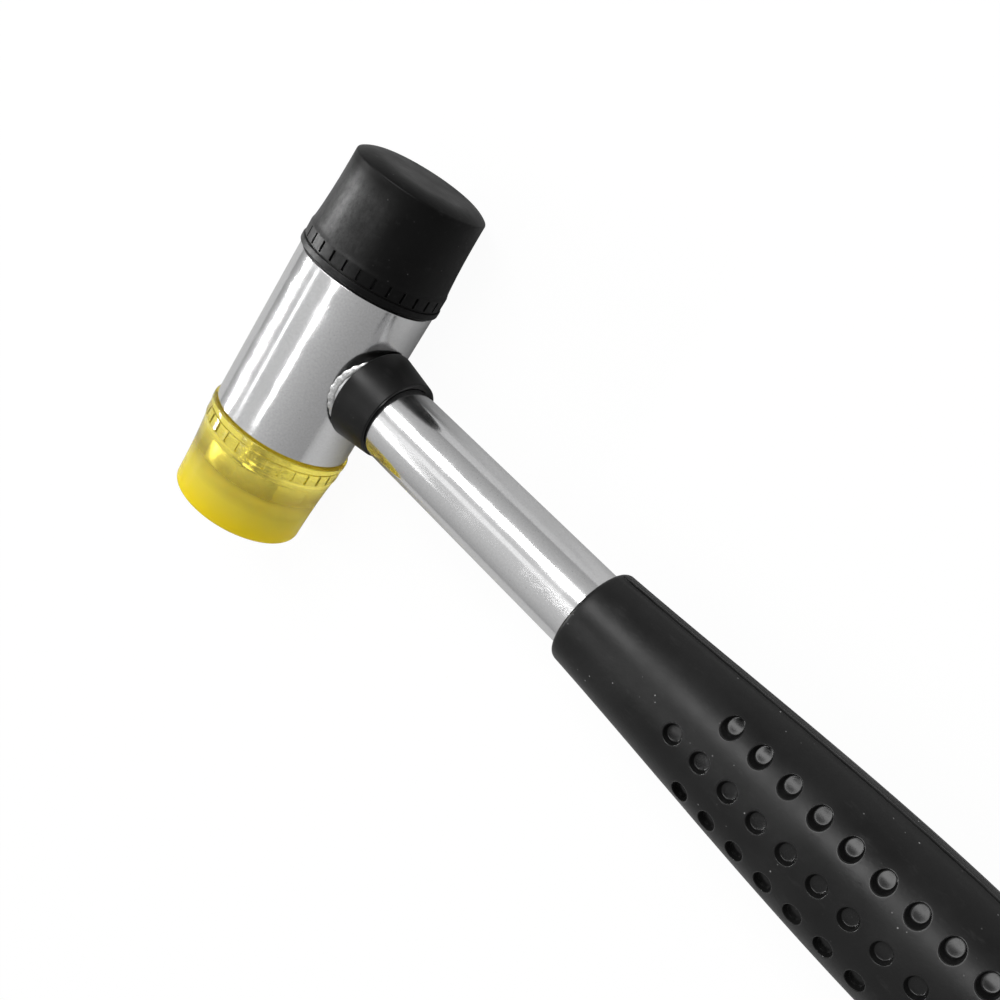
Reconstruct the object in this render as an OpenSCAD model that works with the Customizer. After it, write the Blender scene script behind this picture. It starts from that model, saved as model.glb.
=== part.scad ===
// Soft face hammer with a steel head, two screw-in faces and a tubular handle.
// Lengths are in millimetres. The hammer lies on its side on Z = 0: the handle runs
// along +X, the rubber face looks along +Y and the clear face along -Y.

/* [Head] */
// Diameter of the steel head
head_d = 30; // [27:0.5:36]
// Length of the steel head along its own axis
head_len = 37.2; // [36:0.2:50]
// Chamfer round each end of the steel head
head_chamfer = 0.6; // [0.2:0.1:1.5]
// Depth of the handle's socket, from the side of the head
socket_depth = 9; // [6:0.5:10]
// Gap round the tube in its socket
socket_clear = 0.05; // [0.02:0.01:0.2]
// Depth of a stud's hole beyond the end of the stud
stud_hole_spare = 1.5; // [0.5:0.5:4]
// Leg of the weld where the tube enters the head
weld_leg = 0.8; // [0.5:0.1:1.2]

/* [Faces] */
// Length of a face outside the head, to the middle of its crown
face_len = 22.4; // [19:0.2:30]
// How far the lip at the base of a face stands out past the head
lip_proud = 0.5; // [0.35:0.05:1.5]
// Height of that lip
lip_h = 1.4; // [0.9:0.1:1.8]
// Radius of the edges of that lip
lip_edge_r = 0.3; // [0.1:0.05:0.4]
// Width of the groove between the lip and the rim
groove_w = 0.3; // [0.2:0.05:0.5]
// Depth of that groove inside the rim
groove_depth = 0.25; // [0.1:0.05:0.5]
// How far the rim stands out past the head
rim_proud = 0.3; // [0.1:0.05:0.3]
// Height of the rim's end above the base
rim_up = 4.4; // [4:0.1:5.5]
// How far the side steps in above the rim
rim_step = 0.15; // [0.1:0.05:0.4]
// Height above the base round which the side bends from its steep taper to its slight one
waist_up = 10.5; // [7:0.5:14]
// How far the bend's corner lies inside the head's diameter
waist_in = 0.6; // [0.3:0.1:1.5]
// How far the side lies inside the head's diameter at the striking end
tip_in = 0.7; // [0.5:0.1:3]
// Radius of the edge round the rubber face's striking end
rubber_edge_r = 1.8; // [1:0.1:4]
// Radius of the edge round the clear face's striking end
clear_edge_r = 2; // [1:0.1:4]
// Rise of the striking end in its middle
crown_h = 0.6; // [0.2:0.1:2]
// Number of notches round a face
notch_count = 30; // [12:1:36]
// Height of a notch's lower end above the groove
notch_up = 0.2; // [0.1:0.1:1]
// Length of a notch
notch_len = 2.2; // [1:0.1:2.4]
// Width of a notch
notch_w = 0.5; // [0.3:0.1:1]
// Depth of a notch's floor inside the rim
notch_depth = 0.55; // [0.4:0.05:1]

/* [Studs] */
// Outside diameter of a stud's thread
stud_d = 8; // [6:0.5:9]
// Length of a stud under its head
stud_len = 20; // [16:1:21]
// Pitch of the thread
thread_pitch = 1.25; // [1:0.05:1.5]
// Depth of the thread
thread_depth = 0.65; // [0.4:0.05:0.7]
// Gap round a stud in the head and in the base of its face
stud_clear = 0.05; // [0.02:0.01:0.09]
// Width across the flats of a stud's hexagonal head
bolt_head_af = 13; // [11:0.5:14]
// Height of that hexagonal head
bolt_head_h = 5.3; // [4:0.1:6]
// Height of its underside above the base of the face
bolt_head_up = 8; // [6:0.5:10]
// Width of the chamfer round the hexagon's corners
bolt_head_chamfer = 0.6; // [0.3:0.1:0.9]
// Gap round the hexagonal head in its pocket
pocket_clear = 0.3; // [0.2:0.05:0.5]
// Gap under and over the hexagonal head in its pocket
pocket_gap = 0.05; // [0.02:0.01:0.2]

/* [Handle] */
// Outside diameter of the handle tube
tube_d = 16; // [14:0.5:18]
// Wall of the handle tube
tube_wall = 1.5; // [1:0.1:2.5]

/* [Collar] */
// Gap between the side of the head and the collar
collar_gap = 0.4; // [0.1:0.1:1]
// Length of the collar
collar_len = 8.5; // [6:0.1:16]
// Wall of the collar next to the head
collar_root_wall = 2.05; // [1.9:0.05:3.5]
// Wall of the collar at its outer end
collar_end_wall = 0.8; // [0.7:0.05:1.8]
// Radius of the edge round the outer end
collar_edge_r = 0.4; // [0.3:0.1:1.2]
// How far the collar's cone sits off the tube's axis, towards the rubber face
collar_shift = 0.5; // [0:0.1:0.6]
// Gap round the tube in the collar, and round the weld in its recess
collar_clear = 0.1; // [0.05:0.05:0.2]

/* [Grip] */
// Distance from the head's axis to the near end of the grip
grip_start = 79.8; // [50:0.2:100]
// Distance from the head's axis to the far end of the grip
grip_end = 240; // [230:1:300]
// Wall of the grip at its near end
grip_start_wall = 1.9; // [1.5:0.1:3]
// Diameter of the grip where the palm holds it
grip_swell_d = 27; // [24:0.5:32]
// Diameter of the neck behind the swell
grip_neck_d = 24.6; // [22:0.2:28]
// Diameter of the flared butt
grip_flare_d = 28.6; // [26:0.2:30]
// Radius of the edge at the near end
grip_edge_r = 0.9; // [0.3:0.1:1.2]
// Radius of the edge round the butt
butt_edge_r = 6; // [3:0.5:8]
// Solid length of the butt beyond the tube
butt_solid = 21; // [18:1:40]
// Diameter of a dimple's mouth
dimple_d = 3.4; // [3.1:0.1:4.5]
// Diameter of a dimple's floor
dimple_floor_d = 2.7; // [1:0.1:3]
// Depth of a dimple
dimple_depth = 1.3; // [0.5:0.1:1.6]
// Distance between dimples along the grip
dimple_pitch = 6.2; // [5:0.05:8]
// Distance between rows of dimples across the grip
dimple_row_gap = 7.2; // [5:0.1:7.5]
// Distance from the near end of the grip to the first dimple
dimple_first = 27; // [10:0.5:40]
// Number of dimples in the middle row of each side
dimple_count = 14; // [4:1:16]
// Width of the rib along each parting line
rib_w = 1.6; // [1:0.1:4]
// How far that rib stands out
rib_h = 0.25; // [0.1:0.05:0.6]

/* [Hanging hole] */
// Diameter of the hanging hole
hang_d = 7; // [4:0.5:9]
// Distance from the hole to the far end of the grip
hang_from_end = 10; // [8:0.5:13]
// Diameter of the flat land round the hole
hang_land_d = 13; // [10:0.5:16]
// Thickness of the butt between its two lands
hang_land_t = 22; // [16:0.5:24]

/* [Hidden] */
$fn = 96;

// Overrun of every cut past the surface that it opens
cut_over = 1;

// Directions of the two faces from the head's middle
rubber_side = 1;
clear_side = -1;

// Angle of the first notch, and of a hexagon's first corner, from +X towards +Z
notch_turn = 1;
hexagon_turn = 16;

// Steps of the arcs and of the grip's long curve
arc_steps = 8;
grip_steps = 44;

// Shares of the grip's length at which it is widest, narrowest and flared
grip_swell_share = 0.47;
grip_neck_share = 0.8;
grip_flare_share = 0.925;
// Rise of the grip's radius for each millimetre of length at its near end, as a share
grip_start_rise_share = 0.045;
// Dimples that each side row has fewer than the middle row
side_row_fewer = 2;
// How far a dimple's taper goes on past its mouth and its floor, as a share of its depth
taper_past_share = 0.25;

head_r = head_d / 2;
half_head = head_len / 2;
tube_r = tube_d / 2;
stud_r = stud_d / 2;
stud_hole_r = stud_r + stud_clear;
stud_reach = stud_len - bolt_head_up;
bolt_head_r = bolt_head_af / 2 / cos(30);

lip_r = head_r + lip_proud;
rim_r = head_r + rim_proud;
groove_r = rim_r - groove_depth;
groove_end = lip_h + groove_w;
waist_r = head_r - waist_in;
tip_r = head_r - tip_in;

socket_x = head_r - socket_depth;
tube_end = grip_end - butt_solid;
tube_len = tube_end - socket_x;

collar_x = head_r + collar_gap;
collar_end = collar_x + collar_len;
collar_bore_r = tube_r + collar_clear;
collar_root_r = collar_bore_r + collar_root_wall;
collar_end_r = collar_bore_r + collar_end_wall;

grip_len = grip_end - grip_start;
grip_start_r = tube_r + grip_start_wall;
swell_x = grip_start + grip_swell_share * grip_len;
neck_x = grip_start + grip_neck_share * grip_len;
flare_x = grip_start + grip_flare_share * grip_len;
hang_x = grip_end - hang_from_end;

// Where the head's and the handle's axes cross, from the origin under the middle
axis_x = (lip_r - grip_end) / 2;
axis_z = lip_r;

// A cubic from a to b as t goes from 0 to 1: it leaves a at the given rise and ends level
function eased(t, a, b, rise) =
    a * (1 - 3 * t * t + 2 * t * t * t) + b * (3 * t * t - 2 * t * t * t) + rise * t * (1 - t) * (1 - t);

// The grip's radius at a distance x from the head's axis
function grip_r(x) =
    x < swell_x ? eased((x - grip_start) / (swell_x - grip_start), grip_start_r, grip_swell_d / 2,
                        grip_start_rise_share * (swell_x - grip_start))
    : x < neck_x ? eased((x - swell_x) / (neck_x - swell_x), grip_swell_d / 2, grip_neck_d / 2, 0)
    : x < flare_x ? eased((x - neck_x) / (flare_x - neck_x), grip_neck_d / 2, grip_flare_d / 2, 0)
    : grip_flare_d / 2;

// A curve from a to c that bends towards b, as t goes from 0 to 1
function bent(t, a, b, c) = a * (1 - t) * (1 - t) + b * 2 * t * (1 - t) + c * t * t;

// Points of an arc about (r, x), from one angle to another
function arc(r, x, radius, from, to) =
    [for (i = [0 : arc_steps]) let (a = from + (to - from) * i / arc_steps)
        [r + radius * cos(a), x + radius * sin(a)]];

// Puts a shape drawn about the crossing of the two axes into the part's frame
module placed() {
    translate([axis_x, 0, axis_z]) children();
}

// Turns a shape drawn along +Z so that it runs along the handle
module along_handle() {
    rotate([0, 90, 0]) children();
}

// Turns a shape drawn from the head's end along +Z out of one side of the head
module out_of_head(side) {
    translate([0, side * half_head, 0]) rotate([-side * 90, 0, 0]) children();
}

// A round solid from an outline of [radius, height] points
module turned(points) {
    rotate_extrude() polygon(points);
}

// The hole for one stud, with a lead-in at its mouth
module stud_hole() {
    hole = stud_reach + stud_hole_spare;
    translate([0, 0, -hole]) cylinder(r = stud_hole_r, h = hole + cut_over);
    translate([0, 0, -thread_depth])
        cylinder(r1 = stud_hole_r, r2 = stud_hole_r + thread_depth + cut_over, h = thread_depth + cut_over);
}

module head_body() {
    color("gainsboro") placed() difference() {
        rotate([90, 0, 0]) turned([
            [0, -half_head], [head_r - head_chamfer, -half_head], [head_r, -half_head + head_chamfer],
            [head_r, half_head - head_chamfer], [head_r - head_chamfer, half_head], [0, half_head]
        ]);
        for (side = [rubber_side, clear_side]) out_of_head(side) stud_hole();
        translate([socket_x, 0, 0]) along_handle()
            cylinder(r = tube_r + socket_clear, h = socket_depth + cut_over);
    }
}

module handle_tube() {
    color("silver") placed() translate([socket_x, 0, 0]) along_handle() difference() {
        cylinder(r = tube_r, h = tube_len);
        translate([0, 0, -cut_over]) cylinder(r = tube_r - tube_wall, h = tube_len + 2 * cut_over);
    }
}

// The weld keeps one leg out from the tube and one leg off the head all the way round
module weld_bead() {
    color("darkgray") placed() difference() {
        intersection() {
            translate([socket_x, 0, 0]) along_handle() cylinder(r = tube_r + weld_leg, h = head_d);
            rotate([90, 0, 0]) cylinder(r = head_r + weld_leg, h = head_len, center = true);
        }
        rotate([90, 0, 0]) cylinder(r = head_r, h = head_len + cut_over, center = true);
        along_handle() cylinder(r = tube_r, h = head_d);
    }
}

module collar() {
    edge_x = collar_end - collar_edge_r;
    edge_r = collar_end_r - collar_edge_r;
    recess_r = tube_r + weld_leg + collar_clear;
    recess_end = head_r + weld_leg + collar_clear;
    color("dimgray") placed() difference() {
        translate([0, collar_shift, 0]) along_handle() turned(concat(
            [[0, collar_x], [collar_root_r, collar_x]],
            arc(edge_r, edge_x, collar_edge_r, 0, 90),
            [[0, collar_end]]
        ));
        along_handle() cylinder(r = collar_bore_r, h = collar_end + cut_over);
        along_handle() cylinder(r = recess_r, h = recess_end);
    }
}

// Places along the grip's long curve at which its outlines have their points
grip_curve_x = grip_start + grip_edge_r;
grip_xs = [for (i = [0 : grip_steps]) grip_curve_x + (flare_x - grip_curve_x) * i / grip_steps];

// The grip's outline, moved out by the given amount
function grip_outline(out) = concat(
    [[0, grip_start]],
    arc(grip_start_r + out - grip_edge_r, grip_curve_x, grip_edge_r, -90, 0),
    [for (i = [1 : grip_steps]) [grip_r(grip_xs[i]) + out, grip_xs[i]]],
    arc(grip_flare_d / 2 + out - butt_edge_r, grip_end - butt_edge_r, butt_edge_r, 0, 90),
    [[0, grip_end]]
);

// One dimple's hole, square to the parting plane and down to it. It tapers from dimple_d where the
// grip's surface is surface_z high to dimple_floor_d `drop` lower, and the taper goes on a little
// way above and below so that it crosses both surfaces
module dimple_hole(surface_z, drop) {
    past = drop * taper_past_share;
    past_r = taper_past_share * (dimple_d - dimple_floor_d) / 2;
    floor_r = dimple_floor_d / 2 - past_r;
    mouth_r = dimple_d / 2 + past_r;
    turned([
        [0, 0], [floor_r, 0], [floor_r, surface_z - drop - past],
        [mouth_r, surface_z + past], [mouth_r, grip_flare_d], [0, grip_flare_d]
    ]);
}

module dimple_holes() {
    for (row = [-1, 0, 1]) {
        fewer = row == 0 ? 0 : side_row_fewer / 2;
        for (i = [fewer : dimple_count - 1 - fewer]) {
            x = grip_start + dimple_first + i * dimple_pitch;
            y = row * dimple_row_gap;
            surface_z = sqrt(grip_r(x) * grip_r(x) - y * y);
            for (side = [0, 1]) mirror([0, 0, side])
                translate([x, y, 0]) dimple_hole(surface_z, dimple_depth * grip_r(x) / surface_z);
        }
    }
}

module grip() {
    color("#2a2a2a") placed() difference() {
        union() {
            difference() {
                along_handle() turned(grip_outline(0));
                dimple_holes();
            }
            along_handle() turned([
                [0, grip_curve_x],
                for (x = grip_xs) [grip_r(x) - dimple_depth, x],
                [0, flare_x]
            ]);
            intersection() {
                along_handle() turned(grip_outline(rib_h));
                translate([grip_curve_x, -grip_flare_d, -rib_w / 2])
                    cube([grip_len - grip_edge_r - butt_edge_r, 2 * grip_flare_d, rib_w]);
            }
        }
        translate([grip_start - cut_over, 0, 0]) along_handle()
            cylinder(r = tube_r, h = tube_end - grip_start + cut_over);
        translate([hang_x, 0, 0]) cylinder(d = hang_d, h = grip_flare_d + 2 * cut_over, center = true);
        for (side = [0, 1]) mirror([0, 0, side])
            translate([hang_x, 0, hang_land_t / 2]) cylinder(d = hang_land_d, h = grip_flare_d);
    }
}

// The side of a face, from its base past the lip, the groove and the rim up to tip_edge_up
function face_side(tip_edge_up) = concat(
    [[0, 0]],
    arc(lip_r - lip_edge_r, lip_edge_r, lip_edge_r, -90, 0),
    arc(lip_r - lip_edge_r, lip_h - lip_edge_r, lip_edge_r, 0, 90),
    [[groove_r, lip_h], [groove_r, groove_end], [rim_r, groove_end], [rim_r, rim_up]],
    [for (i = [0 : arc_steps]) let (t = i / arc_steps)
        [bent(t, rim_r - rim_step, waist_r, tip_r), bent(t, rim_up, waist_up, tip_edge_up)]],
    [[0, tip_edge_up]]
);

// One striking face, drawn from its base at Z = 0, with a radius of edge_r round its striking end
module face(edge_r) {
    tip_flat_r = tip_r - edge_r;
    tip_edge_up = face_len - crown_h - edge_r;
    crown_r = (tip_flat_r * tip_flat_r + crown_h * crown_h) / (2 * crown_h);
    difference() {
        union() {
            turned(face_side(tip_edge_up));
            rotate_extrude() translate([tip_flat_r, tip_edge_up]) circle(r = edge_r);
            cylinder(r = tip_flat_r, h = tip_edge_up + edge_r);
            intersection() {
                translate([0, 0, face_len - crown_r]) sphere(r = crown_r, $fn = 4 * $fn);
                translate([0, 0, waist_up]) cylinder(r = tip_flat_r, h = face_len);
            }
        }
        for (i = [0 : notch_count - 1])
            rotate([0, 0, notch_turn + i * 360 / notch_count])
                translate([rim_r - notch_depth, -notch_w / 2, groove_end + notch_up])
                    cube([notch_depth + cut_over, notch_w, notch_len]);
        translate([0, 0, -cut_over]) cylinder(r = stud_hole_r, h = bolt_head_up + cut_over);
        translate([0, 0, bolt_head_up - pocket_gap])
            cylinder(r = bolt_head_r + pocket_clear, h = bolt_head_h + 2 * pocket_gap);
    }
}

// One hexagon bolt, drawn from the base of its face at Z = 0, thread down
module stud() {
    core_r = stud_r - thread_depth;
    turns = floor(stud_len / thread_pitch);
    flank = thread_pitch / 2;
    intersection() {
        translate([0, 0, bolt_head_up]) cylinder(r = bolt_head_r, h = bolt_head_h, $fn = 6);
        translate([0, 0, bolt_head_up]) turned([
            [0, 0], [bolt_head_r, 0], [bolt_head_r, bolt_head_h - bolt_head_chamfer / 2],
            [bolt_head_r - bolt_head_chamfer, bolt_head_h], [0, bolt_head_h]
        ]);
    }
    turned(concat(
        [[0, bolt_head_up], [core_r, bolt_head_up]],
        [for (i = [0 : turns - 1]) for (half = [0, 1])
            [half == 0 ? stud_r : core_r, bolt_head_up - thread_pitch * i - flank * (1 + half)]],
        [[core_r, -stud_reach], [0, -stud_reach]]
    ));
}

module rubber_face() {
    color("#333333") placed() out_of_head(rubber_side) face(rubber_edge_r);
}

module rubber_face_stud() {
    color("lightsteelblue") placed() out_of_head(rubber_side) rotate([0, 0, hexagon_turn]) stud();
}

module clear_face() {
    color("gold", 0.75) placed() out_of_head(clear_side) face(clear_edge_r);
}

module clear_face_stud() {
    color("lightsteelblue") placed() out_of_head(clear_side) rotate([0, 0, hexagon_turn]) stud();
}

head_body();
handle_tube();
weld_bead();
collar();
grip();
rubber_face();
rubber_face_stud();
clear_face();
clear_face_stud();
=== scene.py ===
"""Soft face hammer: the looks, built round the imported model.

Blender's lengths are metres. Outlines are written in millimetres from the point where the axes
of head and handle cross, and build() turns them into metres.
"""

import math

import bmesh
import bpy
from mathutils import Matrix, Vector


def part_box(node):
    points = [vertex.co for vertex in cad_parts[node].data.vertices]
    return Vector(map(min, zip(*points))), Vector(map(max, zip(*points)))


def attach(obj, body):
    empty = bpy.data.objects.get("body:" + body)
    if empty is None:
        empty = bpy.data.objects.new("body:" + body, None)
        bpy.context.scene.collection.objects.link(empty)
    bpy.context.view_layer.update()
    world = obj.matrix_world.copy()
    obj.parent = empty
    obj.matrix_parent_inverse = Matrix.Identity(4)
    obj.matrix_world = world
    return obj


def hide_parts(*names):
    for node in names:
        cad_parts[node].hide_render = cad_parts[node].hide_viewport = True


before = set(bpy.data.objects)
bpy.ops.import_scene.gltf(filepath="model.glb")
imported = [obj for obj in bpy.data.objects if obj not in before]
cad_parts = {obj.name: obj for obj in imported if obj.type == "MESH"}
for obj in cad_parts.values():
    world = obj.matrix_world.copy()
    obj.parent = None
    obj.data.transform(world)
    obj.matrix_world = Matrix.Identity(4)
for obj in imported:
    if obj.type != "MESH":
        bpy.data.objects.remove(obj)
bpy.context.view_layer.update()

MM = 0.001
head_low, head_high = (Vector(corner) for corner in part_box("head_body"))
CROSSING = (head_low + head_high) / 2
HALF_HEAD = head_high.y / MM

RUBBER_SIDE, CLEAR_SIDE = 1, -1


# Placing: each takes a point drawn with its piece's axis along +Z

def along_handle(p):
    return p[2], p[1], -p[0]


def along_head(p):
    return p[0], p[2], -p[1]


def out_of_head(side):
    return lambda p: (p[0], side * (HALF_HEAD + p[2]), -side * p[1])


# Outlines

FILLET_SHARE = 0.49  # the most of a side that one fillet takes


def between(start, corner, end, t):
    """The place at t, from 0 to 1, on a curve that leaves and arrives towards the corner."""
    return start * (1 - t) ** 2 + corner * 2 * t * (1 - t) + end * t * t


def curve(start, corner, end, steps):
    return [tuple(between(start, corner, end, k / steps)) for k in range(steps + 1)]


def rounded(corners, steps=5):
    """A closed outline from (radius, height, fillet) corners, each rounded by its fillet."""
    points = []
    for i, (r, h, fillet) in enumerate(corners):
        if not fillet:
            points.append((r, h))
            continue
        corner = Vector((r, h))
        back = Vector(corners[i - 1][:2]) - corner
        ahead = Vector(corners[(i + 1) % len(corners)][:2]) - corner
        reach = min(fillet / math.tan(back.angle(ahead) / 2),
                    FILLET_SHARE * back.length, FILLET_SHARE * ahead.length)
        points += curve(corner + back.normalized() * reach, corner,
                        corner + ahead.normalized() * reach, steps)
    return points


def mirrored(corners):
    """The corners of an outline's upper half, and then their mirror images below height 0."""
    return corners + [(r, -h, fillet) for r, h, fillet in reversed(corners)]


def arc(r, h, radius, start, end, steps):
    """Points of an arc about (r, h), from one angle in degrees to another."""
    angles = [math.radians(start + (end - start) * k / steps) for k in range(steps + 1)]
    return [(r + radius * math.cos(a), h + radius * math.sin(a)) for a in angles]


def even_angles(count):
    return [2 * math.pi * i / count for i in range(count)]


# Meshes

ON_AXIS = 1e-6  # a radius in millimetres below which a row is one point
MERGE_DIST, DEGENERATE_DIST = 1e-7, 1e-8  # metres


class Shape:
    """Points and faces that are gathered before they become one mesh."""

    def __init__(self):
        self.points, self.faces, self.slots = [], [], []

    def ring(self, points):
        first = len(self.points)
        self.points.extend(points)
        return list(range(first, len(self.points)))

    def bridge(self, a, b, slot=0):
        for i in range(len(a)):
            j = (i + 1) % len(a)
            self.face(a[i], a[j], b[j], b[i], slot=slot)

    def face(self, *corners, slot=0):
        corners = list(dict.fromkeys(corners))
        if len(corners) > 2:
            self.faces.append(corners)
            self.slots.append(slot)

    def lathe(self, outline, angles, place, inward=None, shifts=None, closed=False):
        """Turns an outline of (radius, height) points round its axis. inward(r, h, i) moves a
        point of column i towards the axis, and shifts moves each row along Y."""
        rows = []
        for k, (r, h) in enumerate(outline):
            shift = shifts[k] if shifts else 0
            if r < ON_AXIS:
                rows.append(self.ring([place((0, shift, h))]) * len(angles))
                continue
            ring = []
            for i, a in enumerate(angles):
                reach = r - (inward(r, h, i) if inward else 0)
                ring.append(place((reach * math.cos(a), shift + reach * math.sin(a), h)))
            rows.append(self.ring(ring))
        for a, b in zip(rows, rows[1:] + (rows[:1] if closed else [])):
            self.bridge(a, b)

    def build(self, name, *materials, sharp=32):
        """The mesh object of this shape, in metres, at the crossing of the axes."""
        mesh = bpy.data.meshes.new(name)
        mesh.from_pydata([[c * MM for c in p] for p in self.points], [], self.faces)
        mesh.polygons.foreach_set("material_index", self.slots)
        bm = bmesh.new()
        bm.from_mesh(mesh)
        bmesh.ops.remove_doubles(bm, verts=bm.verts, dist=MERGE_DIST)
        bmesh.ops.dissolve_degenerate(bm, edges=bm.edges, dist=DEGENERATE_DIST)
        open_edges = [e for e in bm.edges if e.is_boundary]
        if open_edges:
            bmesh.ops.holes_fill(bm, edges=open_edges, sides=0)
        bmesh.ops.recalc_face_normals(bm, faces=bm.faces)
        bm.to_mesh(mesh)
        bm.free()
        for material in materials:
            mesh.materials.append(material)
        mesh.shade_smooth()
        mesh.set_sharp_from_angle(angle=math.radians(sharp))
        piece = bpy.data.objects.new(name, mesh)
        bpy.context.scene.collection.objects.link(piece)
        piece.location = CROSSING
        return piece


def dress(piece, node, body):
    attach(piece, body)
    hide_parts(node)


# Materials

# The colour sockets of Blender's Mix node, by number
MIX_FACTOR, MIX_A, MIX_B, MIX_RESULT = 0, 6, 7, 2


def is_socket(value):
    return isinstance(value, bpy.types.NodeSocket)


def connect(tree, socket, value):
    """Feeds a socket with another socket or with a constant."""
    if is_socket(value):
        tree.links.new(value, socket)
    else:
        socket.default_value = value


def scaled(colour, share):
    return tuple(c * share for c in colour)


def grey(level):
    return level, level, level


class Look:
    """A procedural material: one Principled shader and what feeds it."""

    def __init__(self, name, **constants):
        self.material = bpy.data.materials.new(name)
        self.material.use_nodes = True
        self.tree = self.material.node_tree
        self.shader = self.tree.nodes["Principled BSDF"]
        for socket, value in constants.items():
            self.shader.inputs[socket.replace("_", " ")].default_value = value
        self.where = self.add("ShaderNodeTexCoord").outputs["Object"]

    def add(self, kind, inputs=None, **settings):
        node = self.tree.nodes.new(kind)
        for key, value in settings.items():
            setattr(node, key, value)
        for key, value in (inputs or {}).items():
            connect(self.tree, node.inputs[key], value)
        return node

    def noise(self, per_mm, detail, roughness, stretch=(1, 1, 1)):
        """Noise with about per_mm features in each millimetre."""
        where = self.add("ShaderNodeMapping", {"Vector": self.where, "Scale": stretch}).outputs[0]
        return self.add("ShaderNodeTexNoise", {
            "Vector": where, "Scale": per_mm / MM, "Detail": detail, "Roughness": roughness
        }).outputs[0]

    def specks(self, per_mm, low, high):
        """1 within the share `low` of a cell from scattered points, and 0 beyond `high`."""
        cells = self.add("ShaderNodeTexVoronoi", {"Vector": self.where, "Scale": per_mm / MM})
        return self.span(cells.outputs[0], low, high, 1.0, 0.0)

    def span(self, value, low, high, start=0.0, end=1.0):
        """Maps low..high of a value onto start..end, and keeps to it beyond."""
        return self.add("ShaderNodeMapRange", {
            "Value": value, "From Min": low, "From Max": high, "To Min": start, "To Max": end
        }).outputs[0]

    def reckon(self, operation, a, b):
        node = self.add("ShaderNodeMath", operation=operation)
        for socket, value in zip(node.inputs, (a, b)):
            connect(self.tree, socket, value)
        return node.outputs[0]

    def sum(self, a, b):
        return self.reckon("ADD", a, b)

    def product(self, a, b):
        return self.reckon("MULTIPLY", a, b)

    def blend(self, amount, a, b):
        """A colour between a and b."""
        node = self.add("ShaderNodeMix", data_type="RGBA")
        connect(self.tree, node.inputs[MIX_FACTOR], amount)
        for key, colour in ((MIX_A, a), (MIX_B, b)):
            connect(self.tree, node.inputs[key], colour if is_socket(colour) else (*colour, 1))
        return node.outputs[MIX_RESULT]

    def bump(self, height, depth_mm, under=None):
        """A normal from a height of 0 to 1 that stands for depth_mm, on top of another normal."""
        inputs = {"Height": height, "Distance": depth_mm * MM, "Strength": 1.0}
        if under:
            inputs["Normal"] = under
        return self.add("ShaderNodeBump", inputs).outputs[0]

    def feed(self, **sockets):
        for key, value in sockets.items():
            self.tree.links.new(value, self.shader.inputs[key.replace("_", " ")])
        return self.material


def chrome(name, tone, rough, grain_mm, wave_mm, run):
    """Plated metal. Long waves and a patchy fine grain break up what it reflects, and there are
    pits. run stretches the waves along the bar."""
    grain_tone, pit_tone, pit_amount = 0.88, 0.4, 0.4
    look = Look(name, Metallic=1.0)
    cloud = look.noise(per_mm=0.12, detail=4, roughness=0.6)
    worn = look.span(cloud, 0.42, 0.66, 0.3, 1.0)
    wave = look.noise(per_mm=0.35, detail=2, roughness=0.5, stretch=run)
    grain = look.noise(per_mm=2.4, detail=4, roughness=0.7)
    pits = look.specks(0.8, 0.05, 0.15)
    colour = look.blend(look.span(grain, 0.35, 0.75), tone, scaled(tone, grain_tone))
    pitted = look.product(pits, look.product(worn, pit_amount))
    colour = look.blend(pitted, colour, scaled(tone, pit_tone))
    haze = look.product(look.span(grain, 0.3, 0.75, 0.8, 1.3),
                        look.span(worn, 0.3, 1.0, rough * 0.8, rough * 1.3))
    relief = look.product(look.reckon("SUBTRACT", grain, pits), worn)
    normal = look.bump(relief, grain_mm, look.bump(wave, wave_mm))
    return look.feed(Base_Color=colour, Roughness=haze, Normal=normal)


def weld_metal():
    look = Look("weld_metal", Metallic=1.0)
    grain = look.noise(per_mm=1.6, detail=5, roughness=0.7)
    colour = look.blend(look.span(grain, 0.4, 0.7), (0.86, 0.86, 0.86), (0.42, 0.42, 0.41))
    return look.feed(Base_Color=colour, Roughness=look.span(grain, 0.3, 0.7, 0.25, 0.45),
                     Normal=look.bump(grain, 0.08))


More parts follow.
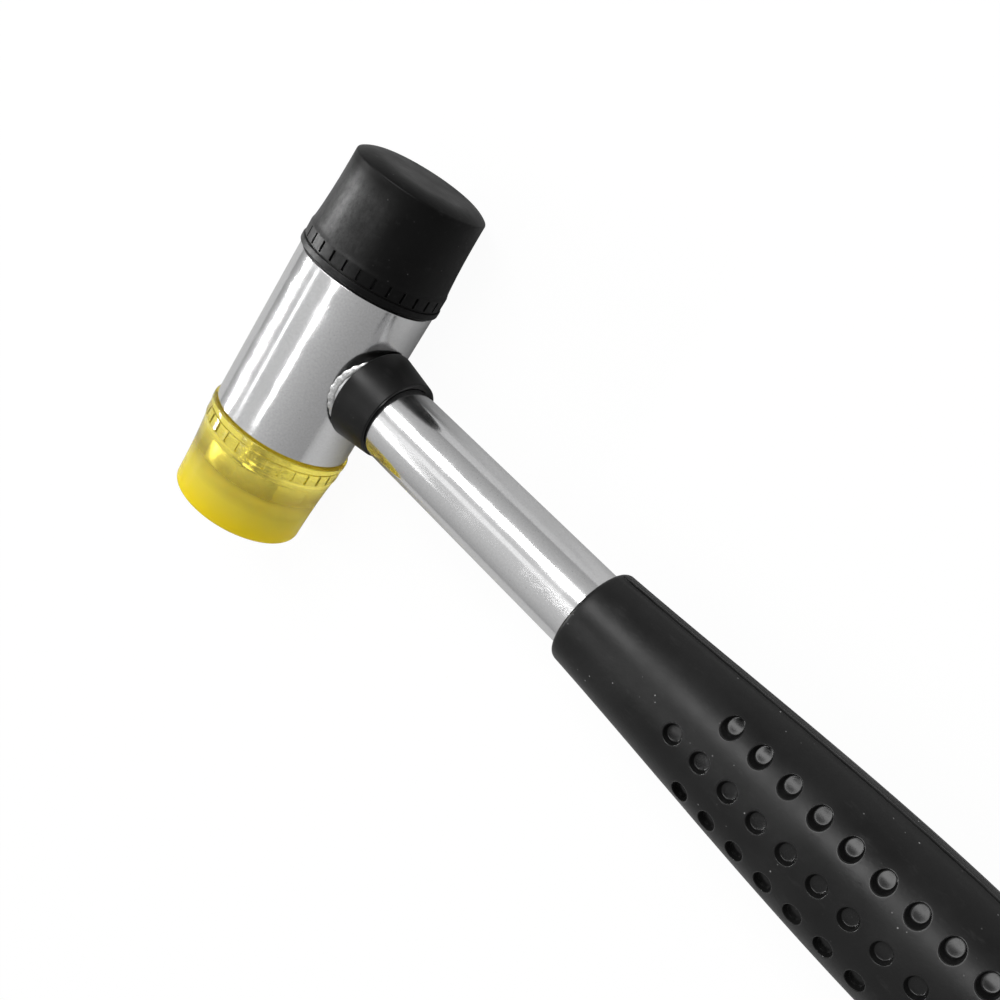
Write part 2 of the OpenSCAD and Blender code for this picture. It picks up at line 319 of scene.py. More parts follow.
def black_moulding(name, tone, rough, grain_per_mm, grain_mm, specks, shine, rubbed=None):
    """Black plastic or rubber: a moulded grain, uneven gloss, scuffs and pale specks of dust.
    rubbed is the shine that patches round the side towards -X have instead."""
    cloud_mm, fine_share = 0.10, 0.12
    uneven, scuff_amount, scuff_rough = 0.08, 0.5, 0.1
    cloud_tone, scuff_tone, dust_tone = tone * 2, tone * 3 + 0.02, 0.3
    look = Look(name, Specular_IOR_Level=shine)
    cloud = look.noise(per_mm=0.09, detail=4, roughness=0.6)
    grain = look.noise(per_mm=grain_per_mm, detail=4, roughness=0.65)
    fine = look.noise(per_mm=5.0, detail=3, roughness=0.6)
    dust = look.specks(0.42, 0.03, 0.07)
    dusty = look.product(look.product(dust, look.span(cloud, 0.42, 0.58)), specks)
    scuff = look.span(look.noise(per_mm=0.6, detail=6, roughness=0.75, stretch=(0.3, 1.0, 1.0)),
                      0.58, 0.8)
    colour = look.blend(look.span(cloud, 0.3, 0.7), grey(tone), grey(cloud_tone))
    colour = look.blend(look.product(scuff, scuff_amount), colour, grey(scuff_tone))
    colour = look.blend(dusty, colour, grey(dust_tone))
    gloss = look.sum(look.span(cloud, 0.3, 0.7, rough - uneven, rough + uneven),
                     look.product(scuff, scuff_rough))
    normal = look.bump(cloud, cloud_mm)
    normal = look.bump(look.sum(grain, dust), grain_mm, normal)
    normal = look.bump(fine, grain_mm * fine_share, normal)
    if rubbed:
        split = look.add("ShaderNodeSeparateXYZ", {"Vector": look.where})
        side = look.product(look.span(split.outputs["X"], 0.009, -0.004),
                            look.span(split.outputs["Y"], 0.038, 0.034))
        patches = look.noise(per_mm=0.8, detail=6, roughness=0.8, stretch=(1.0, 0.7, 1.0))
        amount = look.product(side, look.span(patches, 0.36, 0.64, 0.4, 1.0))
        look.feed(Specular_IOR_Level=look.span(amount, 0.0, 1.0, shine, rubbed))
    return look.feed(Base_Color=colour, Roughness=gloss, Normal=normal)


def clear_plastic():
    """Yellow plastic, clear at its base, cloudy beyond the bolt and amber towards the striking
    end."""
    lemon, straw, mustard, amber = ((0.92, 0.81, 0.15), (0.89, 0.75, 0.10), (0.74, 0.62, 0.06),
                                    (0.82, 0.64, 0.015))
    look = Look("clear_yellow", IOR=1.49, Specular_IOR_Level=0.06, Subsurface_Weight=0.5,
                Subsurface_Radius=(1.0, 0.8, 0.2), Subsurface_Scale=0.004)
    cloud = look.noise(per_mm=0.14, detail=5, roughness=0.6)
    grain = look.noise(per_mm=0.9, detail=3, roughness=0.6)
    split = look.add("ShaderNodeSeparateXYZ", {"Vector": look.where})
    cloudy = look.span(split.outputs["Y"], -0.0285, -0.0335)
    deep = look.span(split.outputs["Y"], -0.0335, -0.0380)
    base = look.blend(look.span(cloud, 0.3, 0.7), lemon, straw)
    colour = look.blend(deep, look.blend(cloudy, base, mustard), amber)
    return look.feed(Base_Color=colour, Roughness=look.span(cloud, 0.3, 0.7, 0.10, 0.18),
                     Transmission_Weight=look.span(cloudy, 0.0, 1.0, 0.88, 0.25),
                     Normal=look.bump(grain, 0.002))


def bolt_metal():
    look = Look("plated_bolt", Metallic=1.0)
    grain = look.noise(per_mm=1.4, detail=4, roughness=0.6)
    brushed = look.noise(per_mm=0.5, detail=3, roughness=0.6, stretch=(1.0, 0.3, 1.0))
    colour = look.blend(look.span(grain, 0.3, 0.7), (0.94, 0.92, 0.85), (0.74, 0.72, 0.64))
    return look.feed(Base_Color=colour, Roughness=look.span(brushed, 0.3, 0.7, 0.10, 0.22),
                     Normal=look.bump(brushed, 0.006))


HEAD_CHROME = chrome("chrome_head", (0.86, 0.86, 0.865), rough=0.15, grain_mm=0.011,
                     wave_mm=0.006, run=(1.0, 0.12, 1.0))
TUBE_CHROME = chrome("chrome_tube", (0.88, 0.88, 0.885), rough=0.14, grain_mm=0.002,
                     wave_mm=0.01, run=(0.12, 1.0, 1.0))
WELD = weld_metal()
COLLAR_PLASTIC = black_moulding("collar_plastic", 0.003, rough=0.34, grain_per_mm=1.2,
                                grain_mm=0.006, specks=0.15, shine=0.24)
GRIP_PLASTIC = black_moulding("grip_plastic", 0.004, rough=0.40, grain_per_mm=1.6,
                              grain_mm=0.018, specks=0.9, shine=0.28)
PIN_MARK = black_moulding("pin_mark", 0.004, rough=0.26, grain_per_mm=1.6,
                          grain_mm=0.004, specks=0.1, shine=0.34)
RUBBER = black_moulding("face_rubber", 0.0012, rough=0.43, grain_per_mm=0.9,
                        grain_mm=0.03, specks=0.2, shine=0.16, rubbed=1.0)
CLEAR = clear_plastic()
BOLT = bolt_metal()


# Head and tube

HEAD_R, HEAD_CHAMFER = 15.0, 0.6
TUBE_R, TUBE_WALL, TUBE_START, TUBE_END = 8.0, 1.5, 6.0, 219.0
STUD_R = 4.0
HOLE_R, HOLE_DEPTH, HOLE_CHAMFER = STUD_R + 0.05, 13.5, 0.65

half_head = [
    (0, HALF_HEAD - HOLE_DEPTH, 0), (HOLE_R, HALF_HEAD - HOLE_DEPTH, 0),
    (HOLE_R, HALF_HEAD - HOLE_CHAMFER, 0.05), (HOLE_R + HOLE_CHAMFER, HALF_HEAD, 0.05),
    (HEAD_R - HEAD_CHAMFER, HALF_HEAD, 0.12), (HEAD_R, HALF_HEAD - HEAD_CHAMFER, 0.12),
]
head_shape = Shape()
head_shape.lathe(rounded(mirrored(half_head)), even_angles(192), along_head)
dress(head_shape.build("head_bar", HEAD_CHROME), "head_body", "hammer")

tube_outline = rounded([(TUBE_R, TUBE_START, 0.1), (TUBE_R, TUBE_END, 0.1),
                        (TUBE_R - TUBE_WALL, TUBE_END, 0.1),
                        (TUBE_R - TUBE_WALL, TUBE_START, 0.1)])
tube_shape = Shape()
tube_shape.lathe(tube_outline, even_angles(128), along_handle, closed=True)
dress(tube_shape.build("handle_bar", TUBE_CHROME), "handle_tube", "hammer")


# Weld and collar

WELD_LEG, RIPPLE, RIPPLE_COUNT = 0.8, 0.16, 27
WELD_INTO_TUBE, WELD_INTO_HEAD = 0.1, 0.3


def weld_ring(shape):
    """A rippled fillet on the line where the tube meets the round side of the head."""
    count = 8 * RIPPLE_COUNT
    rows = []
    for a in even_angles(count):
        leg = WELD_LEG - RIPPLE * abs(math.sin(a * RIPPLE_COUNT / 2)) ** 3

        def at(r, out):
            reach = math.sqrt(HEAD_R ** 2 - (r * math.sin(a)) ** 2)
            return reach + out, r * math.cos(a), r * math.sin(a)

        rows.append(shape.ring([
            at(TUBE_R - WELD_INTO_TUBE, -WELD_INTO_HEAD), at(TUBE_R - WELD_INTO_TUBE, leg),
            at(TUBE_R, leg), at(TUBE_R + 0.38 * leg, 0.72 * leg),
            at(TUBE_R + 0.72 * leg, 0.38 * leg), at(TUBE_R + leg, 0),
            at(TUBE_R + leg, -WELD_INTO_HEAD),
        ]))
    for i in range(count):
        shape.bridge(rows[i], rows[(i + 1) % count])


weld_shape = Shape()
weld_ring(weld_shape)
dress(weld_shape.build("weld_ripples", WELD, sharp=50), "weld_bead", "hammer")

COLLAR_START, COLLAR_END = HEAD_R + 0.4, HEAD_R + 8.9
COLLAR_START_R, COLLAR_END_R = 10.15, 8.9
COLLAR_BORE_R, COLLAR_BORE_START = 8.1, 15.9
WELD_POCKET_R = 8.9
COLLAR_OFF_AXIS = 0.5  # how far the cone sits off its bore, along Y

collar_outer = rounded([(9.6, COLLAR_START, 0), (COLLAR_START_R, COLLAR_START, 0.3),
                        (COLLAR_END_R, COLLAR_END, 0.4), (8.4, COLLAR_END, 0)], 8)
collar_inner = [(COLLAR_BORE_R, COLLAR_END - 0.3), (COLLAR_BORE_R, COLLAR_BORE_START),
                (WELD_POCKET_R, COLLAR_BORE_START), (WELD_POCKET_R, COLLAR_START)]
collar_shape = Shape()
collar_shape.lathe(collar_outer + collar_inner, even_angles(144), along_handle, closed=True,
                   shifts=[COLLAR_OFF_AXIS] * len(collar_outer) + [0] * len(collar_inner))
dress(collar_shape.build("collar_cone", COLLAR_PLASTIC), "collar", "hammer")


# Grip

BORE_R, MOUTH_LIP_R, MOUTH_ROUND, BUTT_ROUND = 8.02, 8.3, 0.9, 6.0
GRIP_START, GRIP_END = 79.8, 240.0
GRIP_LEN = GRIP_END - GRIP_START
MOUTH_END, FLARE_END = GRIP_START + MOUTH_ROUND, GRIP_END - BUTT_ROUND
SWELL_X, NECK_X, FLARE_X = (GRIP_START + share * GRIP_LEN for share in (0.47, 0.8, 0.925))
START_R, SWELL_R, NECK_R, FLARE_R = 9.9, 13.5, 12.3, 14.3
START_SLOPE = 0.045

DIMPLE_X, DIMPLE_PITCH, DIMPLE_ROW, DIMPLE_COUNT = GRIP_START + 27.0, 6.2, 7.2, 14
CELL_SIDE = 10  # the faces along each side of a dimple's cell
CELLS_LOW = DIMPLE_X - DIMPLE_PITCH / 2
CELLS_HIGH = CELLS_LOW + DIMPLE_COUNT * DIMPLE_PITCH
ROWS_REACH = 1.5 * DIMPLE_ROW
RINGS_BEFORE_CELLS, RINGS_AFTER_CELLS = 24, 40

# (radius, depth) of a dimple from its mouth to its middle. Its mouth is smooth down to the ring
# MOUTH_RINGS and its floor from the ring FLOOR_RING, and its wall has the grip's own grain
DIMPLE_RINGS = [
    (1.95, 0.0), (1.84, 0.01), (1.77, 0.04), (1.72, 0.1), (1.68, 0.2), (1.63, 0.4), (1.57, 0.65),
    (1.50, 0.92), (1.45, 1.1), (1.38, 1.22), (1.26, 1.28), (1.1, 1.3), (0.7, 1.3), (0.3, 1.3),
]
DIMPLE_R, DIMPLE_DEPTH = DIMPLE_RINGS[0][0], DIMPLE_RINGS[-1][1]
MOUTH_RINGS, FLOOR_RING = 4, 8
# Shares of the way from a dimple's mouth out to its cell's border, for the rings between them
CELL_BLENDS = (0.7, 0.42, 0.18)
# Slope of the side rows' floors, as a share of the grip's slope there
FLOOR_SLOPE = 0.72

# Columns round the grip: the half towards +Z from the rib at -Y to the rib at +Y. Each is a
# (kind, value): "rib" is a height over the parting plane and its share of the rib's rise, which
# is below zero in the groove beside it, "strip" is a share of the way from there to the dimples,
# and "cell" is a place across them
RIB_RISE, RIB_REACH, RIB_FADE = 0.25, 2.0, 0.4
RIB_PROFILE = [
    (0.0, 1.0), (0.3, 1.0), (0.58, 1.0), (0.68, 0.92), (0.74, 0.6), (0.78, -0.8), (0.84, -2.0),
    (0.95, -2.4), (1.12, -2.4), (1.28, -2.0), (1.4, -0.8), (1.47, 0.2), (1.57, 0.4), (1.72, 0.25),
    (RIB_REACH, 0.0),
]
STRIP_STEPS = 6
SIDE_COLUMNS = [("rib", place) for place in RIB_PROFILE]
SIDE_COLUMNS += [("strip", k / STRIP_STEPS) for k in range(1, STRIP_STEPS)]
CELL_COLUMNS = [("cell", -ROWS_REACH + DIMPLE_ROW * k / CELL_SIDE)
                for k in range(3 * CELL_SIDE + 1)]
HALF_COLUMNS = [(-1, c) for c in SIDE_COLUMNS] + [(0, c) for c in CELL_COLUMNS]
HALF_COLUMNS += [(1, c) for c in reversed(SIDE_COLUMNS)]


def eased(t, a, b, slope=0.0):
    """From a to b as t goes from 0 to 1, level at both ends but for a slope at the first."""
    return (a * (1 - 3 * t * t + 2 * t ** 3) + b * (3 * t * t - 2 * t ** 3)
            + slope * t * (1 - t) ** 2)


def grip_r(x):
    if x < SWELL_X:
        length = SWELL_X - GRIP_START
        return eased((x - GRIP_START) / length, START_R, SWELL_R, START_SLOPE * length)
    if x < NECK_X:
        return eased((x - SWELL_X) / (NECK_X - SWELL_X), SWELL_R, NECK_R)
    if x < FLARE_X:
        return eased((x - NECK_X) / (FLARE_X - NECK_X), NECK_R, FLARE_R)
    return FLARE_R


def column_angle(x, which, column):
    """The angle of a column from +Z towards +Y at the place x."""
    kind, value = column
    level = min(max(x, GRIP_START + 1), FLARE_END)
    row_level = min(max(x, CELLS_LOW), CELLS_HIGH)
    if kind == "cell":
        return math.asin(value / grip_r(row_level))
    if kind == "rib":
        up = value[0]
        if up < RIB_REACH:  # the rib's edges wander a little
            up *= 1 + 0.04 * math.sin(1.3 * x) + 0.03 * math.sin(3.7 * x)
        return which * math.acos(up / grip_r(level))
    cells_edge = math.asin(ROWS_REACH / grip_r(row_level))
    return which * (math.acos(RIB_REACH / grip_r(level)) * (1 - value) + cells_edge * value)


def rib_rise(x, column):
    """How far a rib or its groove stands off the grip. Both fade out at the grip's ends."""
    kind, value = column
    if kind != "rib":
        return 0.0
    to_end = min(x - GRIP_START - MOUTH_ROUND, FLARE_END - x)
    return RIB_RISE * value[1] * min(max(to_end / RIB_FADE, 0), 1)


def grip_rings(shape, around):
    """The sleeve's rings from its mouth to the middle of its butt, and the first in the cells."""
    mouth = [(BORE_R, GRIP_START), (MOUTH_LIP_R, GRIP_START)]
    mouth += arc(START_R - MOUTH_ROUND, MOUTH_END, MOUTH_ROUND, -90, 0, 6)[:-1]
    butt = arc(FLARE_R - BUTT_ROUND, FLARE_END, BUTT_ROUND, 0, 90, 14)[1:]
    butt += [(5.5, GRIP_END), (2.5, GRIP_END), (0.0, GRIP_END)]
    lines = [MOUTH_END + k * (CELLS_LOW - GRIP_START - MOUTH_ROUND) / RINGS_BEFORE_CELLS
             for k in range(RINGS_BEFORE_CELLS)]
    lines += [CELLS_LOW + k * DIMPLE_PITCH / CELL_SIDE for k in range(DIMPLE_COUNT * CELL_SIDE)]
    lines += [CELLS_HIGH + k * (FLARE_END - CELLS_HIGH) / RINGS_AFTER_CELLS
              for k in range(RINGS_AFTER_CELLS + 1)]
    stations = [(x, r) for r, x in mouth] + [(x, None) for x in lines] + [(x, r) for r, x in butt]
    rings = []
    for x, r in stations:
        if r == 0:
            rings.append(shape.ring([(x, 0, 0)]) * len(around))
            continue
        ring = []
        for up, (which, column) in around:
            reach = grip_r(x) + rib_rise(x, column) if r is None else r
            angle = column_angle(x, which, column)
            ring.append((x, reach * math.sin(angle), up * (reach * math.cos(angle))))
        rings.append(shape.ring(ring))
    return rings, len(mouth) + RINGS_BEFORE_CELLS


def grip_sleeve(shape):
    around = [(1, c) for c in HALF_COLUMNS] + [(-1, c) for c in HALF_COLUMNS[-2:0:-1]]
    rings, first_in_cells = grip_rings(shape, around)
    top = set(range(len(SIDE_COLUMNS), len(SIDE_COLUMNS) + 3 * CELL_SIDE))
    bottom = {len(around) - 1 - c for c in top}
    for k, (a, b) in enumerate(zip(rings, rings[1:])):
        in_cells = first_in_cells <= k < first_in_cells + DIMPLE_COUNT * CELL_SIDE
        for i in range(len(around)):
            if in_cells and (i in top or i in bottom):
                continue
            j = (i + 1) % len(around)
            shape.face(a[i], a[j], b[j], b[i])
    # The bore, from its mouth to the end of the tube
    angles = [math.atan2(p[1], p[2]) for p in (shape.points[v] for v in rings[0])]
    deep = shape.ring([(TUBE_END, BORE_R * math.sin(a), BORE_R * math.cos(a)) for a in angles])
    end = shape.ring([(TUBE_END, 0, 0)]) * len(angles)
    shape.bridge(deep, rings[0])
    shape.bridge(end, deep)
    for up in (1, -1):
        for row in range(3):
            for k in range(DIMPLE_COUNT):
                grip_cell(shape, up, row, k, row == 1 or 0 < k < DIMPLE_COUNT - 1)


def grip_cell(shape, up, row, k, dimpled):
    """One cell of the grip's pattern: rings from its straight border to the dimple's middle."""
    x0, y0 = CELLS_LOW + k * DIMPLE_PITCH, -ROWS_REACH + row * DIMPLE_ROW
    mid_x, mid_y = x0 + DIMPLE_PITCH / 2, y0 + DIMPLE_ROW / 2
    steps = [i / CELL_SIDE for i in range(CELL_SIDE)]
    border = [(x0 + DIMPLE_PITCH * s, y0) for s in steps]
    border += [(x0 + DIMPLE_PITCH, y0 + DIMPLE_ROW * s) for s in steps]
    border += [(x0 + DIMPLE_PITCH * (1 - s), y0 + DIMPLE_ROW) for s in steps]
    border += [(x0, y0 + DIMPLE_ROW * (1 - s)) for s in steps]
    spokes = [math.atan2(y - mid_y, x - mid_x) for x, y in border]

    def slope(depth):
        return mid_y / math.sqrt((grip_r(mid_x) - depth) ** 2 - mid_y ** 2)

    flatter = (slope(DIMPLE_DEPTH) - FLOOR_SLOPE * slope(0)) / DIMPLE_DEPTH

    def surface(x, y, depth):
        depth = depth if dimpled else 0
        round_z = math.sqrt((grip_r(x) - depth) ** 2 - y * y)
        return x, y, up * (round_z + flatter * depth * (y - mid_y))

    def on_circle(radius, a):
        return mid_x + radius * math.cos(a), mid_y + radius * math.sin(a)

    rings = [shape.ring([surface(x, y, 0) for x, y in border])]
    for blend in CELL_BLENDS:
        ring = []
        for (x, y), a in zip(border, spokes):
            cx, cy = on_circle(DIMPLE_R, a)
            ring.append(surface(cx + (x - cx) * blend, cy + (y - cy) * blend, 0))
        rings.append(shape.ring(ring))
    for radius, depth in DIMPLE_RINGS:
        rings.append(shape.ring([surface(*on_circle(radius, a), depth) for a in spokes]))
    for k, (a, b) in enumerate(zip(rings, rings[1:]), -1 - len(CELL_BLENDS)):
        smooth = dimpled and (0 <= k < MOUTH_RINGS or k >= FLOOR_RING)
        shape.bridge(a, b, slot=1 if smooth else 0)
    middle = shape.ring([surface(mid_x, mid_y, DIMPLE_DEPTH)])
    shape.bridge(rings[-1], middle * len(border), slot=1 if dimpled else 0)


def without(piece, cutter):
    """Cuts one closed piece out of another."""
    modifier = piece.modifiers.new("cut", "BOOLEAN")
    modifier.operation, modifier.solver, modifier.object = "DIFFERENCE", "EXACT", cutter
    bpy.context.view_layer.update()
    depsgraph = bpy.context.evaluated_depsgraph_get()
    mesh = bpy.data.meshes.new_from_object(piece.evaluated_get(depsgraph))
    piece.modifiers.remove(modifier)
    mesh.name = piece.data.name
    piece.data = mesh
    bpy.data.objects.remove(cutter)
    return piece


grip_shape = Shape()
grip_sleeve(grip_shape)
grip_piece = grip_shape.build("grip_sleeve", GRIP_PLASTIC, PIN_MARK, sharp=40)

HANG_X, HANG_R, HANG_CHAMFER = 230.0, 3.5, 0.5
LAND_R, LAND_UP, CUTTER_UP = 6.5, 11.0, 18
half_hole = [(0, CUTTER_UP, 0), (LAND_R, CUTTER_UP, 0), (LAND_R, LAND_UP, 0.25),
             (HANG_R + HANG_CHAMFER, LAND_UP, 0.2), (HANG_R, LAND_UP - HANG_CHAMFER, 0.2)]
hole_shape = Shape()
hole_shape.lathe(rounded(mirrored(half_hole)), even_angles(64),
                 lambda p: (p[0] + HANG_X, p[1], p[2]))
grip_piece = without(grip_piece, hole_shape.build("hole_cutter", GRIP_PLASTIC))
dress(grip_piece, "grip", "hammer")


# Faces

HEX_LOW = 8.0
FACE_LEN, CROWN_UP, TIP_R, SHOULDER = 22.4, 0.15, 14.3, 3.0
LIP_R, LIP_UP = 15.5, 1.4
GROOVE_R, GROOVE_UP = 15.05, 1.7
RIM_R, NOTCH_COUNT, NOTCH_TURN = 15.3, 30, 1.0
# (height, share of the notch's depth) up a notch, and (place along the rim, share) across it
NOTCH_ROWS = [(1.84, 0), (1.9, 0.15), (1.96, 1), (4.04, 1), (4.1, 0.15), (4.16, 0)]
NOTCH_COLUMNS = [(-0.32, 0), (-0.25, 0.15), (-0.2, 1), (0.2, 1), (0.25, 0.15), (0.32, 0),
                 (0.8, 0), (1.3, 0), (1.8, 0), (2.35, 0)]
# Over the rim's upper edge, and on to the curve of the side
STEP = [(15.295, 4.25), (15.27, 4.4), (15.225, 4.55), (15.17, 4.72), (15.11, 4.95)]
BEND_START, BEND_CORNER, BEND_STEPS = (15.15, 4.4), (14.4, 10.5), 16


def face_outline(core, ridge_up, ridge_r, slope):
    """The side and end of a striking face above its base, from the radius core to the axis. The
    side reaches ridge_up, turns over the radius ridge_r to the given slope in degrees, and
    flattens out."""
    lip = rounded([(core, 0, 0), (LIP_R, 0, 0.3), (LIP_R, LIP_UP, 0.3), (GROOVE_R, LIP_UP, 0.04),
                   (GROOVE_R, GROOVE_UP, 0.04), (RIM_R, GROOVE_UP, 0.08), (RIM_R, 3, 0)], 4)[:-1]
    rim = [(RIM_R, h) for h, share in NOTCH_ROWS]
    bend = [tuple(between(*place, k / BEND_STEPS)
                  for place in zip(BEND_START, BEND_CORNER, (TIP_R, ridge_up)))
            for k in range(1, BEND_STEPS + 1)]
    ridge = arc(TIP_R - ridge_r, ridge_up, ridge_r, 0, 90 - slope, 8)[1:]
    start = Vector(ridge[-1])
    level = FACE_LEN - CROWN_UP
    corner = Vector((start.x - (level - start.y) / math.tan(math.radians(slope)), level))
    flat = Vector((corner.x - SHOULDER, level))
    shoulder = curve(start, corner, flat, 12)[1:]
    crown = [(flat.x * (1 - k / 8), FACE_LEN - CROWN_UP * (1 - k / 8) ** 2) for k in range(1, 9)]
    return lip + rim + STEP + bend + ridge + shoulder + crown


def striking_face(name, side_of_head, material, notch_depth, base, ridge_up, ridge_r, slope):
    """A striking face on its base, an outline from the axis to the underside's outer part."""
    angles, shares = [], []
    for k in range(NOTCH_COUNT):
        for across, share in NOTCH_COLUMNS:
            angles.append(math.radians(NOTCH_TURN + k * 360 / NOTCH_COUNT) + across / RIM_R)
            shares.append(share)
    depth_at = dict(NOTCH_ROWS)

    def inward(r, h, i):
        return notch_depth * min(shares[i], depth_at.get(h, 0)) if r == RIM_R else 0

    outline = base + face_outline(base[-1][0], ridge_up, ridge_r, slope)
    shape = Shape()
    shape.lathe(outline, angles, out_of_head(side_of_head), inward)
    return shape.build(name, material)


rubber_base = [(0, HEX_LOW), (HOLE_R, HEX_LOW), (HOLE_R, 0.3), (HOLE_R + 0.3, 0)]
rubber = striking_face("rubber_striker", RUBBER_SIDE, RUBBER, notch_depth=0.55, base=rubber_base,
                       ridge_up=20.4, ridge_r=0.6, slope=35)
dress(rubber, "rubber_face", "rubber_face")
clear_base = [(0, 0.06), (14.7, 0.06), (14.8, 0)]
clear = striking_face("clear_striker", CLEAR_SIDE, CLEAR, notch_depth=0.35, base=clear_base,
                      ridge_up=20.0, ridge_r=0.9, slope=32)
dress(clear, "clear_face", "clear_face")


# Studs

HEX_HALF, HEX_HIGH, HEX_TURN = 6.5, 13.3, 16
CHAMFER_R, CHAMFER_SLOPE = 6.3, 1.73
HEX_BEYOND = 8  # a radius beyond the hexagon's corners, which inward() brings back to its flats
WASHER_R, WASHER_UP = 6.45, 0.25
PITCH, STUD_END, THREAD_ROOT = 1.25, -12.0, 3.35
END_R, END_SLOPE = 3.2, 1.2
THREAD = [(0.0, STUD_R), (0.12, STUD_R), (0.44, THREAD_ROOT), (0.68, THREAD_ROOT)]


def hexagon(shape, place):
    count = 144
    angles = [a + math.radians(HEX_TURN) for a in even_angles(count)]
    outline = [(0, HEX_HIGH), (3.0, HEX_HIGH), (CHAMFER_R, HEX_HIGH)]
    outline += [(HEX_BEYOND, HEX_HIGH - 0.08 * k) for k in range(1, 11)]
    outline += [(HEX_BEYOND, HEX_LOW + WASHER_UP), (WASHER_R, HEX_LOW + WASHER_UP),
                (CHAMFER_R, HEX_LOW), (0, HEX_LOW)]

    def inward(r, h, i):
        if r < HEX_BEYOND:
            return 0
        flat = HEX_HALF / math.cos(math.radians((360 * i / count) % 60 - 30))
        return r - min(flat, CHAMFER_R + (HEX_HIGH - h) * CHAMFER_SLOPE)

    shape.lathe(outline, angles, place, inward)


def thread(shape, place):
    """A helical thread from the stud's end up into its hexagon."""
    around, per_turn, turns = 48, len(THREAD), 17
    high = HEX_LOW + 0.5
    rows = []
    for j in range(-per_turn, turns * per_turn):
        turn, (share, thread_r) = j // per_turn, THREAD[j % per_turn]
        ring = []
        for i, a in enumerate(even_angles(around)):
            h = STUD_END + PITCH * (turn + share + i / around)
            h = min(max(h, STUD_END), high)
            r = THREAD_ROOT if h == high else min(thread_r, END_R + (h - STUD_END) * END_SLOPE)
            ring.append(place((r * math.cos(a), r * math.sin(a), h)))
        rows.append(shape.ring(ring))
    for j in range(len(rows) - per_turn):
        for i in range(around):
            row, column = (j, i + 1) if i + 1 < around else (j + per_turn, 0)
            if row + 1 < len(rows):
                shape.face(rows[j][i], rows[row][column], rows[row + 1][column], rows[j + 1][i])


def bolt(name, side_of_head):
    shape = Shape()
    place = out_of_head(side_of_head)
    hexagon(shape, place)
    thread(shape, place)
    return shape.build(name, BOLT, sharp=30)


dress(bolt("rubber_bolt", RUBBER_SIDE), "rubber_face_stud", "rubber_stud")
dress(bolt("clear_bolt", CLEAR_SIDE), "clear_face_stud", "clear_stud")


# Floor, world and lamps

FLOOR_REACH = 4.0
FLOOR_TONE, DARKER_IN_METAL = 0.90, -0.47
# How much of the floor is plain white for each kind of ray, and the most of it that may be
FLOOR_WHITE = (("Is Camera Ray", 0.96), ("Is Transmission Ray", 0.9), ("Is Glossy Ray", 0.05))
WHITEST = 0.96

# The room's level at the horizon, what it gains straight up, how much less of that there is
# towards +X, and what it loses towards both ends of the handle
ROOM_LEVEL, ROOM_RISE, ROOM_LEAN, ROOM_ENDS = 0.36, 0.23, -0.18, -0.05
CEILING_DIM = -0.9  # what the ceiling loses of its white, seen through the clear face
WHITE = (1, 1, 1, 1)


def stage_node(tree, kind, *values, **settings):
    """The output of a new node fed with sockets or constants, in the order of its inputs."""
    node = tree.nodes.new(kind)
    for key, value in settings.items():
        setattr(node, key, value)
    for socket, value in zip(node.inputs, values):
        connect(tree, socket, value)
    return node.outputs[0] if node.outputs else None


def stage_math(tree, operation, *values):
    return stage_node(tree, "ShaderNodeMath", *values, operation=operation)


def studio_floor():
    """A pale matt floor. What the camera, metal and the clear face see of it is made whiter."""
    mesh = bpy.data.meshes.new("studio_floor")
    corners = [(x * FLOOR_REACH, y * FLOOR_REACH, 0)
               for x, y in ((-1, -1), (1, -1), (1, 1), (-1, 1))]
    mesh.from_pydata(corners, [], [(0, 1, 2, 3)])
    floor = bpy.data.objects.new("studio_floor", mesh)
    bpy.context.scene.collection.objects.link(floor)
    material = bpy.data.materials.new("studio_floor")
    material.use_nodes = True
    tree = material.node_tree
    tree.nodes.clear()
    ray = tree.nodes.new("ShaderNodeLightPath").outputs
    tone = stage_math(tree, "MULTIPLY_ADD", ray["Is Glossy Ray"], DARKER_IN_METAL, FLOOR_TONE)
    white = 0
    for kind, share in FLOOR_WHITE:
        white = stage_math(tree, "MULTIPLY_ADD", ray[kind], share, white)
    white = stage_math(tree, "MINIMUM", white, WHITEST)
    matt = stage_node(tree, "ShaderNodeBsdfDiffuse", tone)
    glow = stage_node(tree, "ShaderNodeEmission")
    surface = stage_node(tree, "ShaderNodeMixShader", white, matt, glow)
    stage_node(tree, "ShaderNodeOutputMaterial", surface)
    mesh.materials.append(material)


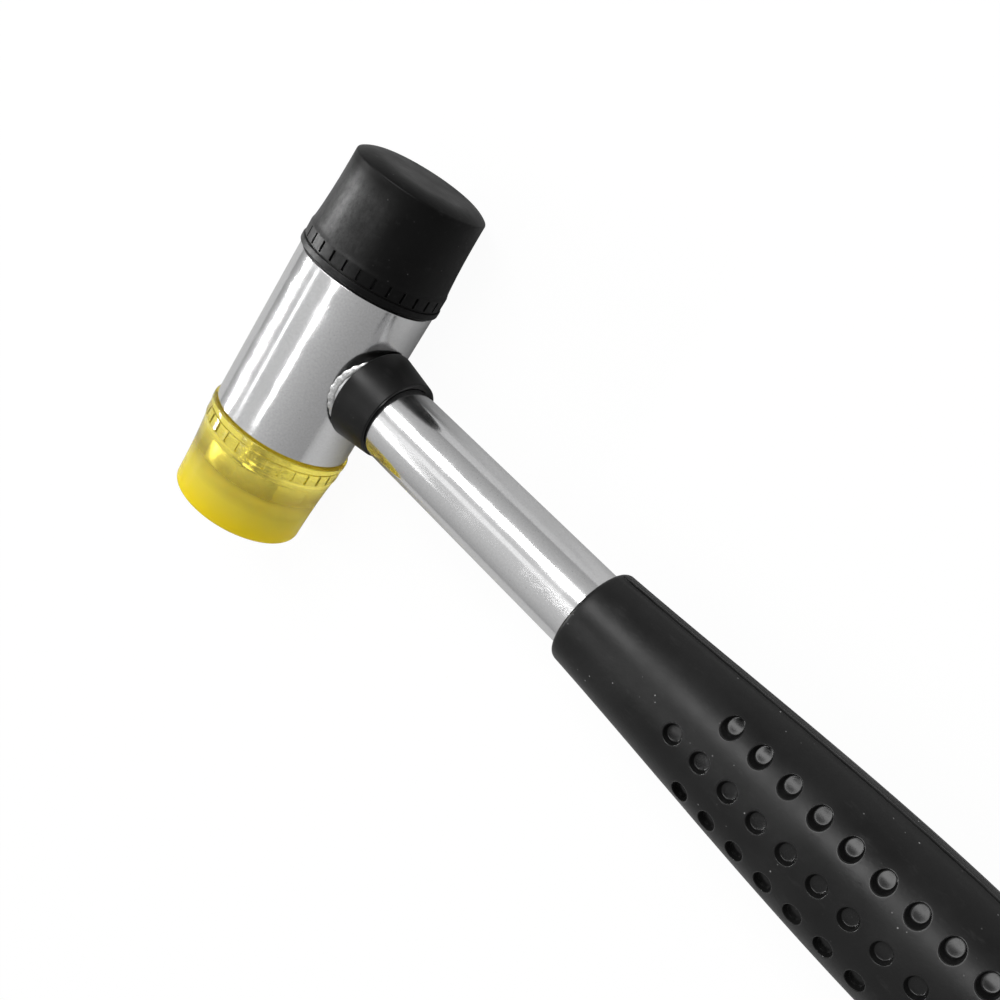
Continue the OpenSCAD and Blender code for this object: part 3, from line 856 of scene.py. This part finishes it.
def studio_world():
    """A pale room, brighter overhead and over the head, and darker towards both ends of the
    handle. The camera sees it white, and so does what is seen through the clear face, but for
    its ceiling."""
    world = bpy.data.worlds.new("studio")
    bpy.context.scene.world = world
    world.use_nodes = True
    tree = world.node_tree
    tree.nodes.clear()
    where = tree.nodes.new("ShaderNodeTexCoord")
    split = tree.nodes.new("ShaderNodeSeparateXYZ")
    tree.links.new(where.outputs["Generated"], split.inputs[0])
    x, z = split.outputs["X"], split.outputs["Z"]
    rise = stage_math(tree, "MULTIPLY_ADD", x, ROOM_LEAN, ROOM_RISE)
    level = stage_math(tree, "MULTIPLY_ADD", z, rise, ROOM_LEVEL)
    sideways = stage_math(tree, "ABSOLUTE", x)
    level = stage_math(tree, "MULTIPLY_ADD", sideways, ROOM_ENDS, level)
    room = stage_node(tree, "ShaderNodeBackground", WHITE, level)
    ray = tree.nodes.new("ShaderNodeLightPath").outputs
    overhead = stage_math(tree, "POWER", z, 2.0)
    dimmed = stage_math(tree, "MULTIPLY", overhead, ray["Is Transmission Ray"])
    strength = stage_math(tree, "MULTIPLY_ADD", dimmed, CEILING_DIM, 1.0)
    white = stage_node(tree, "ShaderNodeBackground", WHITE, strength)
    through = stage_math(tree, "MAXIMUM", ray["Is Transmission Ray"], ray["Is Camera Ray"])
    surface = stage_node(tree, "ShaderNodeMixShader", through, room, white)
    stage_node(tree, "ShaderNodeOutputWorld", surface)


def softbox(name, towards, along, wide, long, radiance, far=1.2):
    """A soft lamp, far metres from the head in the direction `towards`, that looks wide by long
    degrees from there, its length `along`."""
    lamp = bpy.data.lights.new(name, "AREA")
    lamp.shape = "RECTANGLE"
    lamp.size = 2 * far * math.tan(math.radians(wide / 2))
    lamp.size_y = 2 * far * math.tan(math.radians(long / 2))
    lamp.energy = radiance * math.pi * lamp.size * lamp.size_y
    z = Vector(towards).normalized()
    y = Vector(along) - z * Vector(along).dot(z)
    y.normalize()
    x = y.cross(z)
    turned = Matrix((x, y, z)).transposed().to_4x4()
    lamp_object = bpy.data.objects.new(name, lamp)
    bpy.context.scene.collection.objects.link(lamp_object)
    lamp_object.visible_camera = False
    lamp_object.matrix_world = Matrix.Translation(CROSSING + z * far) @ turned


ALONG_HEAD, ALONG_HANDLE = (0, 1, 0), (1, 0, 0)

studio_floor()
studio_world()
softbox("key_strip", (0.03, -0.23, 0.97), ALONG_HEAD, wide=4, long=26, radiance=8.0, far=0.25)
softbox("thin_strip", (-0.55, -0.28, 0.75), ALONG_HEAD, wide=2.0, long=22, radiance=3.0)
softbox("side_strip", (-0.82, -0.27, 0.46), ALONG_HEAD, wide=2.4, long=22, radiance=76.0)
softbox("handle_strip", (-0.13, 0.55, 0.82), ALONG_HANDLE, wide=18, long=56, radiance=6.6)
softbox("handle_fill", (-0.43, 0.0, 0.90), ALONG_HANDLE, wide=12, long=30, radiance=0.35)


# Camera

CAMERA_AT = Vector((0.03590, 0.08192, 0.20433))
LOOK_AT = Vector((-0.06017, 0.00356, 0.0155))
ROLL = math.radians(-90.073)
LENS, SENSOR = 43.957, 36

camera_data = bpy.data.cameras.new("camera")
camera_data.lens = LENS
camera_data.sensor_width = SENSOR
camera_data.clip_start, camera_data.clip_end = 0.01, 20
camera = bpy.data.objects.new("camera", camera_data)
bpy.context.scene.collection.objects.link(camera)
turn = (LOOK_AT - CAMERA_AT).to_track_quat("-Z", "Y").to_matrix() @ Matrix.Rotation(ROLL, 3, "Z")
camera.matrix_world = Matrix.Translation(CAMERA_AT) @ turn.to_4x4()
bpy.context.scene.camera = camera

bpy.context.scene.view_settings.view_transform = "Standard"

bpy.context.view_layer.update()
